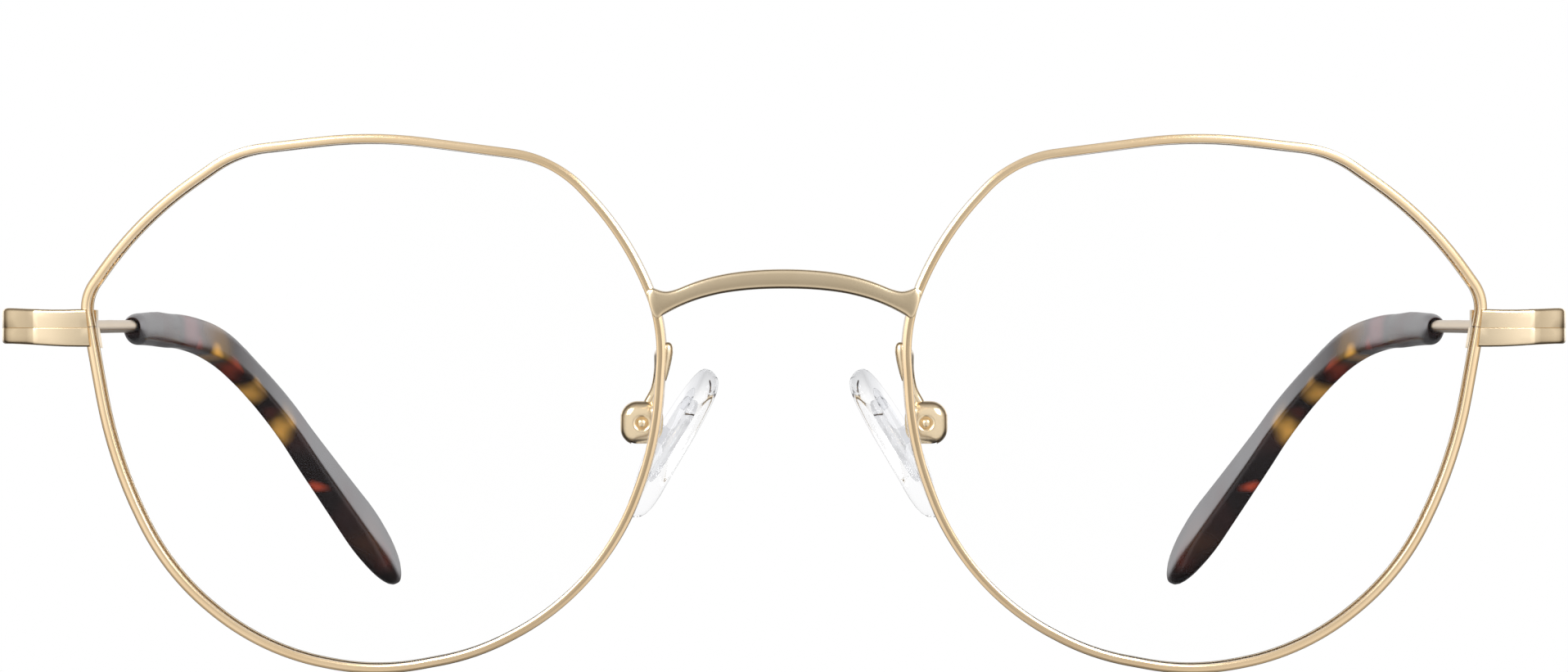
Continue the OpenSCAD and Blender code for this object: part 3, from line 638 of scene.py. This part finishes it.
def plate_rings(upper):
    """One half of the endpiece's plate: a rounded outer edge, and a fine edge at the seam. It
    grows taller towards the corner, and is a little waisted before it."""
    plan = [END_AT + Vector(p) for p in PLATE_PLAN]
    rings = []
    for i, here in enumerate(plan):
        before, after = plan[max(i - 1, 0)], plan[min(i + 1, len(plan) - 1)]
        along = (after - before).normalized()
        back = Vector((-along.y, along.x))
        out = smoothly((here.x - END_AT.x - 1) / 6)
        waist = math.sin(math.pi * min(1, max(0, (here.x - END_AT.x) / CORNER_OUT)))
        if upper:
            out *= 1 - smoothly((here.y - END_AT.y - 2.3) / 1.5)
            seam, edge, turn = SPLIT_Z + SEAM_HALF, END_TOP + 0.11 * out - 0.07 * waist, 1
        else:
            seam, edge, turn = SPLIT_Z - SEAM_HALF, END_LOW + 0.26 * out + 0.02 * waist, -1
        thick = mix(PLATE_T, PLATE_REAR_T, smoothly((i - 9) / 4))
        section = [
            (0.035, seam), (0.008, seam + 0.025 * turn), (0, seam + 0.045 * turn),
            (0, mix(seam, edge, 0.5)), (0, edge - 0.3 * turn), (0.02, edge - 0.2 * turn),
            (0.075, edge - 0.1 * turn), (0.16, edge - 0.03 * turn), (0.27, edge),
            (thick - 0.12, edge), (thick, edge - 0.1 * turn), (thick, seam)]
        lean = PLATE_LEAN * (1 - smoothly(i / 2))
        rings.append([(here.x + back.x * n - lean * (SPLIT_Z - z) / END_HALF, here.y + back.y * n, z)
                      for n, z in section])
    return rings


def make_endpieces():
    over_plate = ((0, 0, END_TOP - 0.06), (0, 0, 1))
    over_screws = ((0, 0, END_TOP - 0.09), (0, 0, 1))
    for half in ("upper", "lower"):
        node = "endpiece_%s_*" % half
        plate = drawn_bar("end_plate", plate_rings(half == "upper"))
        both_sides(plate, "end_plate_%s_*" % half, "front", node, GOLD, 25)
        knuckle = merged_copy(node.replace("*", "left"), "closing_block")
        trimmed(knuckle, *BEHIND_PLATE, UNDER_PLATE if half == "lower" else over_plate)
        edges_broken(knuckle, 0.1)
        both_sides(knuckle, "closing_block_%s_*" % half, "front", node, GOLD)
    for kind in ("lock_screw", "hinge_screw"):
        screw = merged_copy(kind + "_left", kind + "_head")
        trimmed(screw, over_screws, UNDER_PLATE)
        edges_broken(screw, 0.05, 2)
        both_sides(screw, kind + "_head_*", "front", kind + "_*", GOLD_BRIGHT)


# ---------------------------------------------------------------------------------------------
# Temples
# ---------------------------------------------------------------------------------------------
HINGE_Y = 13.0024
WIRE_START = Vector((66.6393, 16.3024))
WIRE_R = 0.63
# The wire closes in and rises by these slopes up to the bend. The bend down begins at BEND_Y, and
# the bend inward a little before it
CLOSING, RISE = 0.021, 0.004
BEND_Y = HINGE_Y + 88.6
DROP_R, DROP = 33, math.radians(49.5)
INWARD_R, INWARD = 40, math.radians(34.5)
INWARD_LEAD = 2.9
LEG_Y = BEND_Y + DROP_R * math.sin(DROP)
# The acetate tip: where it starts and ends, the lengths of its rounded nose and end, its widths and
# heights, how far its middle is below the wire, and how far its leg is twisted
TIP_Y, TIP_END_Y = HINGE_Y + 62, 141.25
NOSE_L, TIP_CAP = 4, 3.2
NOSE_H, SLIM_W, SLIM_H = 3.2, 2.35, 3.6
BROAD_W, BROAD_H = 3.1, 6.4
TIP_LOWER = 0.3
TIP_TWIST = math.radians(6.5)


def bend(t, radius, angle):
    """How far a wire has left its straight line, t after the start of a bend."""
    if t <= 0:
        return 0
    if t < radius * math.sin(angle):
        return radius - math.sqrt(radius * radius - t * t)
    return radius * (1 - math.cos(angle)) + (t - radius * math.sin(angle)) * math.tan(angle)


# How the bend set by hand differs from two even bends: place along the temple, height
HAND_SET = [
    (75, 0), (88, 0), (93, -0.08), (98.5, -0.21), (103, -0.24), (106.2, -0.1), (108.7, 0.1),
    (112.7, 0.52), (116, 0.68), (118.8, 0.45), (121, 0.13), (123, -0.18), (125.6, -0.44),
    (127.6, -0.52), (130.4, -0.43), (134.1, -0.27), (138, -0.05), (145, 0)]


def eased(table, x):
    """A smooth curve through a table's points."""
    last = len(table) - 1
    i = min(max(sum(1 for place, _ in table if place <= x) - 1, 0), last - 1)
    (x0, y0), (x1, y1) = table[i], table[i + 1]
    before, after = table[max(i - 1, 0)], table[min(i + 2, last)]
    slope0, slope1 = (y1 - before[1]) / (x1 - before[0]), (after[1] - y0) / (after[0] - x0)
    k, run = min(1, max(0, (x - x0) / (x1 - x0))), x1 - x0
    return (y0 * (1 - k) ** 2 * (1 + 2 * k) + y1 * k * k * (3 - 2 * k)
            + run * k * (1 - k) * (slope0 * (1 - k) - slope1 * k))


def temple_at(y):
    """The middle of the temple's wire at y."""
    run = min(y, BEND_Y) - WIRE_START.y
    inward = bend(y - BEND_Y + INWARD_LEAD, INWARD_R, INWARD)
    down = bend(y - BEND_Y, DROP_R, DROP)
    return Vector((WIRE_START.x - CLOSING * run - inward, y,
                   SPLIT_Z + 0.05 + RISE * run - down + eased(HAND_SET, y)))


def temple_frame(y):
    """Directions across the temple and up from it."""
    along = (temple_at(y + 0.4) - temple_at(y - 0.4)).normalized()
    across = (Vector((1, 0, 0)) - along * along.x).normalized()
    return across, across.cross(along)


def round_ring(y, radius, sides=24):
    across, up = temple_frame(y)
    return [temple_at(y) + (across * math.cos(a) + up * math.sin(a)) * radius
            for a in angles_round(sides, 0.5)]


def powered(value, power):
    """A value of either sign to a power, its sign kept."""
    return math.copysign(abs(value) ** power, value)


def oval_section(width, height, power, sides=40):
    """A rounded section between an ellipse, at power 1, and a rectangle, at power 0."""
    return [(powered(math.cos(a), power) * width / 2, powered(math.sin(a), power) * height / 2)
            for a in angles_round(sides, 0.5)]


def tip_ring(y, scale=1.0):
    """The acetate tip's section at y: a slim rounded bar that grows into a broad paddle."""
    across, up = temple_frame(y)
    broad = min(1, max(0, (y - BEND_Y - 18) / (TIP_END_Y - 22 - BEND_Y))) ** 1.3
    slim = mix(NOSE_H, SLIM_H, smoothly((y - TIP_Y - 2) / 17)) - 0.1 * smoothly((y - BEND_Y) / 10)
    width, height = mix(SLIM_W, BROAD_W, broad) * scale, mix(slim, BROAD_H, broad) * scale
    middle = temple_at(y) - up * TIP_LOWER
    twist = TIP_TWIST * smoothly((y - BEND_Y - 4) / 18)
    side = across * math.cos(twist) - up * math.sin(twist)
    top = up * math.cos(twist) + across * math.sin(twist)
    # Nearly oval at the nose, squarer along the bar, and rounder again at the end
    power = mix(0.92, 0.22, smoothly((y - TIP_Y - 8) / 38))
    power = mix(power, 0.8, smoothly((y - TIP_END_Y + 6) / 5))
    return [middle + side * p + top * q for p, q in oval_section(width, height, power)]


def make_temples():
    leaf = merged_copy("temple_hinge_left", "hinge_leaf")
    trimmed(leaf, UNDER_PLATE)
    edges_broken(leaf, 0.18)
    both_sides(leaf, "hinge_leaf_*", "temple_*", "temple_hinge_*", GOLD)
    ys = spaced(WIRE_START.y, TIP_Y, 6) + spaced(TIP_Y, BEND_Y - 4, 6)[1:]
    ys += spaced(BEND_Y - 4, LEG_Y + 1, 30)[1:] + spaced(LEG_Y + 1, TIP_END_Y - 5, 4)[1:]
    rod = drawn_bar("temple_rod", [round_ring(y, WIRE_R) for y in ys])
    both_sides(rod, "temple_rod_*", "temple_*", "temple_wire_*", GOLD_WIRE)
    make_ear_tips()


def make_ear_tips():
    """Begins inside the bore, turns out over the rounded nose, and runs to the rounded end."""
    def bore(y, radius):
        across, up = temple_frame(y)
        middle = temple_at(y)
        ring = []
        for point in tip_ring(y):
            a = math.atan2((point - middle).dot(up), (point - middle).dot(across))
            ring.append(middle + (across * math.cos(a) + up * math.sin(a)) * radius)
        return ring

    def nose(t):
        y = TIP_Y + NOSE_L * t
        share = (1 - (1 - t) ** 2) ** 0.75
        return [mix(b, a, share) for a, b in zip(tip_ring(y), bore(y, WIRE_R + 0.22))]

    inside = ((2.5, 0.02), (1, 0.03), (0.45, 0.06), (0.2, 0.11), (0.06, 0.17))
    rings = [bore(TIP_Y + y, WIRE_R + gap) for y, gap in inside]
    rings += [nose(t) for t in (0.002, 0.01, 0.03, 0.07, 0.13, 0.21, 0.32, 0.46, 0.62, 0.8)]
    ys = spaced(TIP_Y + NOSE_L, BEND_Y - 4, 10) + spaced(BEND_Y - 4, LEG_Y + 1, 44)[1:]
    ys += spaced(LEG_Y + 1, TIP_END_Y - TIP_CAP, 12)[1:]
    rings += [tip_ring(y) for y in ys]
    for degrees in (12, 24, 36, 48, 60, 70, 79, 86):
        a = math.radians(degrees)
        y = TIP_END_Y - TIP_CAP * (1 - math.sin(a))
        rings.append(tip_ring(y, max(0.06, math.cos(a) ** 0.95)))
    tip = drawn_bar("ear_tip", rings)
    both_sides(tip, "ear_tip_*", "temple_*", "temple_tip_*", ACETATE, 50)


# ---------------------------------------------------------------------------------------------
# Pad arms and nose pads
# ---------------------------------------------------------------------------------------------
# The box that holds the pad's stem: its middle, size, corner and edge radius, and its dimple's radius
# and depth
BOX_AT = Vector((12.24, 9.6, -1.75))
BOX_W, BOX_DEPTH, BOX_H = 3.75, 2.4, 3.8
BOX_CORNER_R, BOX_EDGE_R = 1.45, 1.1
DIMPLE_R, DIMPLE_DEEP = 0.8, 0.3
# The pad: how far it leans and splays, its length, width and thickness, the way out from the nose to
# the box, and the stem's length along it
PAD_LEAN, PAD_SPLAY = math.radians(31), math.radians(15)
PAD_L, PAD_W, PAD_T = 14.4, 7, 2
PAD_OUT = Vector((math.cos(PAD_SPLAY) * math.cos(PAD_LEAN), -math.sin(PAD_SPLAY),
                  math.cos(PAD_SPLAY) * math.sin(PAD_LEAN)))
STEM_L = 3.15
PAD_AT = BOX_AT - STEM_L * PAD_OUT
PAD_TURN = Matrix.Rotation(-PAD_LEAN, 3, "Y") @ Matrix.Rotation(-PAD_SPLAY, 3, "Z")


def on_pad(x, y, z):
    """A point of the pad's own frame: x away from the nose, y back, z along the pad."""
    return PAD_AT + PAD_TURN @ Vector((x, y, z - 0.3))


def curve_through(points, steps):
    """Points on a smooth curve through these."""
    result = []
    for i in range(len(points) - 1):
        a, b, c, d = (points[min(max(k, 0), len(points) - 1)] for k in (i - 1, i, i + 1, i + 2))
        for s in range(steps):
            k = s / steps
            result.append((2 * b + (c - a) * k + (2 * a - 5 * b + 4 * c - d) * k * k
                           + (3 * b - a - 3 * c + d) * k ** 3) / 2)
    return result + [points[-1]]


# The solder foot on the rim's back, from the top down: height, reach outward, half its depth
FOOT = [(5.2, 0.14, 0.1), (5.15, 0.28, 0.26), (5.0, 0.42, 0.42), (4.75, 0.5, 0.52), (4.3, 0.5, 0.56),
        (3.7, 0.42, 0.52), (3.0, 0.3, 0.42), (2.4, 0.18, 0.32), (1.9, 0.05, 0.2)]
FOOT_INNER_N, FOOT_D = -0.5, 1.05


def make_pad_arms():
    foot = drawn_bar("solder_foot", [
        [on_rim(nasal(z), mix(FOOT_INNER_N, reach, 0.5 + 0.5 * math.cos(a)), FOOT_D + half * math.sin(a))
         for a in angles_round(16)] for z, reach, half in FOOT])
    both_sides(foot, "solder_foot_*", "front", "pad_arm_*", GOLD, 60)

    base = on_rim(nasal(3.7), -0.06, 1.25)
    from_rim = [(0, -0.3, 0), (0.2, 1.8, 0.5), (0.65, 4.6, 0.5)]
    to_box = [(-1.5, -1, 4.7), (-1.2, -0.2, 3), (-0.55, 0, 1.7), (-0.4, 0, 1.2)]
    path = curve_through([base + Vector(p) for p in from_rim] + [BOX_AT + Vector(p) for p in to_box], 8)
    rings = []
    for i, here in enumerate(path):
        along = (path[min(i + 1, len(path) - 1)] - path[max(i - 1, 0)]).normalized()
        side = Vector((0.3, 0.1, 1)).cross(along).normalized()
        up = side.cross(along)
        thicker_at_box = 0.35 * smoothly((i - len(path) + 12) / 12) ** 2
        radius = 0.45 + thicker_at_box - 0.08 * smoothly((5 - i) / 5)
        rings.append([here + (side * math.cos(a) + up * math.sin(a)) * radius
                      for a in angles_round(20)])
    arm = drawn_bar("pad_arm_wire", rings)
    both_sides(arm, "pad_arm_wire_*", "front", "pad_arm_*", GOLD, 60)
    make_pad_box()


def make_pad_box():
    """A pillow-shaped cup round the stem, with a dimple for the screw."""
    box = block("pad_box", BOX_AT, (BOX_W, BOX_DEPTH, BOX_H))
    shape = bmesh.new()
    shape.from_mesh(box.data)
    weights = shape.edges.layers.float.new("bevel_weight_edge")
    for edge in shape.edges:
        a, b = (v.co for v in edge.verts)
        edge[weights] = 1 if abs(a.y - b.y) > MM else 0
    shape.to_mesh(box.data)
    shape.free()
    applied(box, "BEVEL", width=BOX_CORNER_R * MM, segments=8, limit_method="WEIGHT")
    applied(box, "BEVEL", width=BOX_EDGE_R * MM, segments=8, limit_method="ANGLE",
            angle_limit=math.radians(50))
    cut_by(box, rod_across("dimple", BOX_AT, DIMPLE_R, -BOX_DEPTH, -BOX_DEPTH / 2 + DIMPLE_DEEP))
    cut_by(box, block("stem_slot", BOX_AT + Vector((-1.4, 0, -1.5)), (4.7, 1.2, 5.6)))
    both_sides(box, "pad_box_*", "front", "pad_arm_*", GOLD, 40)
    make_pad_screw()


def make_pad_screw():
    """Turned from its section: a dished collar with a ball end in its middle."""
    back = BOX_DEPTH / 2
    front = -back
    section = [(0.02, front - 0.02), (0.16, front), (0.29, front + 0.06), (0.39, front + 0.17),
               (0.43, front + 0.26), (0.5, front + 0.2), (0.62, front + 0.1), (0.74, front + 0.02),
               (0.79, front + 0.03), (0.79, front + 0.3), (0.45, front + 0.34), (0.45, back - 0.1),
               (0.38, back - 0.02), (0.02, back)]
    rings = [[BOX_AT + Vector((r * math.cos(a), y, r * math.sin(a))) for a in angles_round(32)]
             for r, y in section]
    screw = drawn_bar("pad_pin", rings)
    both_sides(screw, "pad_pin_*", "front", "pad_screw_*", GOLD, 50)


# The cushion's layers, from the box's side to the nose's: depth and width as shares of the pad's
PAD_FORM = [
    (0.5, 0.3), (0.5, 0.62), (0.49, 0.8), (0.455, 0.9), (0.38, 0.965), (0.25, 0.995), (0.1, 1),
    (-0.05, 0.975), (-0.2, 0.93), (-0.32, 0.86), (-0.41, 0.745), (-0.47, 0.58), (-0.495, 0.38),
    (-0.5, 0.16)]
# The insert's ribs, from below: place along the pad, half the width, and thickness out from RIB_X
RIBS = [(-5.5, 0.7, 0.35), (-4.75, 0.7, 0.35), (-4.7, 1.1, 0.6), (-4.25, 1.1, 0.6),
        (-4.2, 0.7, 0.35), (-3.9, 0.7, 0.35), (-3.85, 1.2, 0.55), (-3, 1.2, 0.55)]
RIB_X = 0.12
# The loop at the insert's top: its middle, half its thickness, and the rounded edge of its section
LOOP_X, LOOP_Z, LOOP_HALF = 0.45, 3.9, 0.16
LOOP_EDGE = [(0.3, -1), (1.15, -1), (1.25, -0.4), (1.25, 0.4), (1.15, 1), (0.3, 1)]


def cushion_ring(x, k):
    """One layer of the cushion, narrower and thinner towards its lower end."""
    ring = []
    for a in angles_round(56):
        up, aside = powered(math.sin(a), 0.9), powered(math.cos(a), 0.85)
        low = max(0, -up) ** 2
        y = aside * PAD_W / 2 * (1 - (0.55 if aside > 0 else 0.2) * low)
        depth = x * PAD_T * (1 - 0.45 * low if x > 0 else 1) - 0.5 * low
        ring.append(on_pad(depth, k * y, up * PAD_L / 2 * mix(1, k, 0.45 if up > 0 else 0.7)))
    return ring


def make_pads():
    pad = drawn_bar("pad_cushion", [cushion_ring(x, k) for x, k in PAD_FORM])
    both_sides(pad, "pad_cushion_*", "pad_*", "nose_pad_*", SILICONE, 60)
    core = merged_copy("pad_core_left", "pad_insert")
    edges_broken(core, 0.06, 2)
    ribs = drawn_bar("insert_ribs", [
        [on_pad(RIB_X + x * thick, y * half, z) for x, y in ((0, -1), (0, 1), (1, 1), (1, -1))]
        for z, half, thick in RIBS])
    loop = drawn_bar("insert_loop", [
        [on_pad(LOOP_X + thick * LOOP_HALF, math.cos(a) * size, LOOP_Z + max(-0.7, math.sin(a)) * size)
         for a in angles_round(32)] for size, thick in LOOP_EDGE])
    for piece, name in ((core, "pad_insert_*"), (ribs, "insert_ribs_*"), (loop, "insert_loop_*")):
        both_sides(piece, name, "pad_*", "pad_core_*", CORE)


# ---------------------------------------------------------------------------------------------
# The studio: white to the eye, with a graded surround that lights the glasses and shows in them
# ---------------------------------------------------------------------------------------------
def seen_directly(tree):
    """One for a ray from the eye or through clear glass, nought for light and reflections."""
    path = put(tree, "ShaderNodeLightPath").outputs
    return worked(tree, "", "MAXIMUM", path["Is Camera Ray"], path["Is Transmission Ray"])


# Light by how far a direction points to the front, from -1 behind the glasses to 1 at the camera:
# brightness, and a tint from warm to cool
FRONT_STOPS = [
    (-1, 0.85, 0), (-0.95, 1.05, 0.2), (-0.86, 1.7, 0.3), (-0.76, 1.4, 0.2), (-0.64, 0.24, -1),
    (-0.3, 0.26, -1), (0, 0.7, -0.3), (0.35, 1.2, 0), (0.6, 1.55, 0.4), (0.8, 1.5, 0.4),
    (0.9, 1.15, 0.2), (0.95, 0.85, 0.1), (0.985, 0.75, 0), (1, 0.72, 0)]
# Light by how far it points up, from -1 to 1, as a share
HEIGHT_STOPS = [
    (-1, 0.12, -0.2), (-0.95, 0.15, -0.2), (-0.86, 0.5, -0.2), (-0.75, 0.6, -0.2),
    (-0.3, 0.7, -0.1), (-0.12, 0.82, -0.1), (-0.04, 0.88, 0), (0.03, 0.97, 0), (0.18, 1, 0),
    (0.3, 0.84, 0), (0.75, 0.6, 0), (1, 0.8, 0)]
WARM, COOL, WHITE = Vector((1, 0.86, 0.7)), Vector((1, 1.02, 1.1)), (1, 1, 1)
# The share of the light that is left straight ahead and behind, and behind below the horizon
NOT_ASIDE, BEHIND_BELOW = 0.8, 0.22


def graded(tree, source, stops):
    """Colours of the stops along a source from -1 to 1, and what scales them up again."""
    node = put(tree, "ShaderNodeValToRGB")
    ramp = node.color_ramp
    while len(ramp.elements) < len(stops):
        ramp.elements.new(0.5)
    # Room for a cool tint, because a stop holds no more than one
    brightest = max(COOL) * max(value for _, value, _ in stops)
    for stop, (place, value, tint) in zip(ramp.elements, stops):
        stop.position = 0.5 + place / 2
        colour = Vector(WHITE).lerp(COOL if tint > 0 else WARM, abs(tint)) * value / brightest
        stop.color = (*colour, 1)
    wire(tree, remapped(tree, source, -1, 1, 0, 1), node.inputs["Fac"])
    return node.outputs["Color"], brightest


def make_surround():
    world = bpy.data.worlds.new("studio")
    bpy.context.scene.world = world
    world.use_nodes = True
    tree = world.node_tree
    way = parts_of(tree, put(tree, "ShaderNodeTexCoord").outputs["Generated"])
    front = worked(tree, "", "MULTIPLY", way["Y"], -1)
    by_front, front_scale = graded(tree, front, FRONT_STOPS)
    by_height, height_scale = graded(tree, way["Z"], HEIGHT_STOPS)
    colour = worked(tree, "Vector", "MULTIPLY", by_front, by_height)
    full = front_scale * height_scale
    aside = worked(tree, "", "ABSOLUTE", way["X"])
    by_side = remapped(tree, aside, 0.1, 0.5, NOT_ASIDE * full, full)
    behind_below = worked(tree, "", "MULTIPLY", remapped(tree, way["Y"], -0.1, 0.3, 0, 1),
                          remapped(tree, way["Z"], -0.2, 0, 1, 0))
    kept = remapped(tree, behind_below, 0, 1, 1, BEHIND_BELOW)
    strength = worked(tree, "", "MULTIPLY", by_side, kept)
    light = worked(tree, "Vector", "MULTIPLY", colour, strength)
    wire(tree, mixed(tree, seen_directly(tree), light, WHITE), tree.nodes["Background"].inputs["Color"])


# What the floor gives off as light: under the glasses, where its dark glow is painted shade, before them
# and behind them. It fades from the first to the others between two distances in millimetres
FLOOR_SHADE_UNDER, FLOOR_BEFORE, FLOOR_BEHIND = (0.08, 0.07, 0.065), (0.74, 0.71, 0.68), (0.36, 0.34, 0.34)
FLOOR_NEAR, FLOOR_FAR = 90, 210


def make_floor():
    """White to the eye. It gives the glasses a faint light, and does not show in reflections."""
    bpy.ops.mesh.primitive_plane_add(size=4, location=(0, 0, 0))
    floor = bpy.context.active_object
    floor.name = "floor"
    material, tree, shader = new_material("floor_white")
    tree.nodes.remove(shader)
    glow = put(tree, "ShaderNodeEmission")
    place = place_on(tree)
    away = worked(tree, "Vector", "LENGTH", place)
    behind = remapped(tree, parts_of(tree, place)["Y"], -0.15, 0.15, 0, 1)
    around = mixed(tree, behind, FLOOR_BEFORE, FLOOR_BEHIND)
    fade = remapped(tree, away, FLOOR_NEAR * MM, FLOOR_FAR * MM, 0, 1)
    # Painted shade: the floor glows dark under the glasses, where they would shadow it
    given_off = mixed(tree, fade, FLOOR_SHADE_UNDER, around)
    wire(tree, mixed(tree, seen_directly(tree), given_off, WHITE), glow.inputs["Color"])
    wire(tree, glow.outputs[0], tree.nodes["Material Output"].inputs["Surface"])
    floor.data.materials.append(material)
    floor.visible_glossy = False


def make_lights():
    """Two soft lights before and above the glasses, one on each side."""
    for name, side in (("right_light", -0.5), ("left_light", 0.5)):
        at = Vector((side, -0.5, 0.45))
        bpy.ops.object.light_add(type="AREA", location=at)
        light = bpy.context.active_object
        light.name = name
        light.rotation_euler = (-at).to_track_quat("-Z", "Y").to_euler()
        light.data.size = 0.4
        light.data.energy = 5
        light.visible_camera = False


look_straight_on()
make_rims()
make_lenses()
make_bridge()
make_endpieces()
make_temples()
make_pad_arms()
make_pads()
make_surround()
make_floor()
make_lights()
bpy.context.scene.view_settings.view_transform = "Standard"
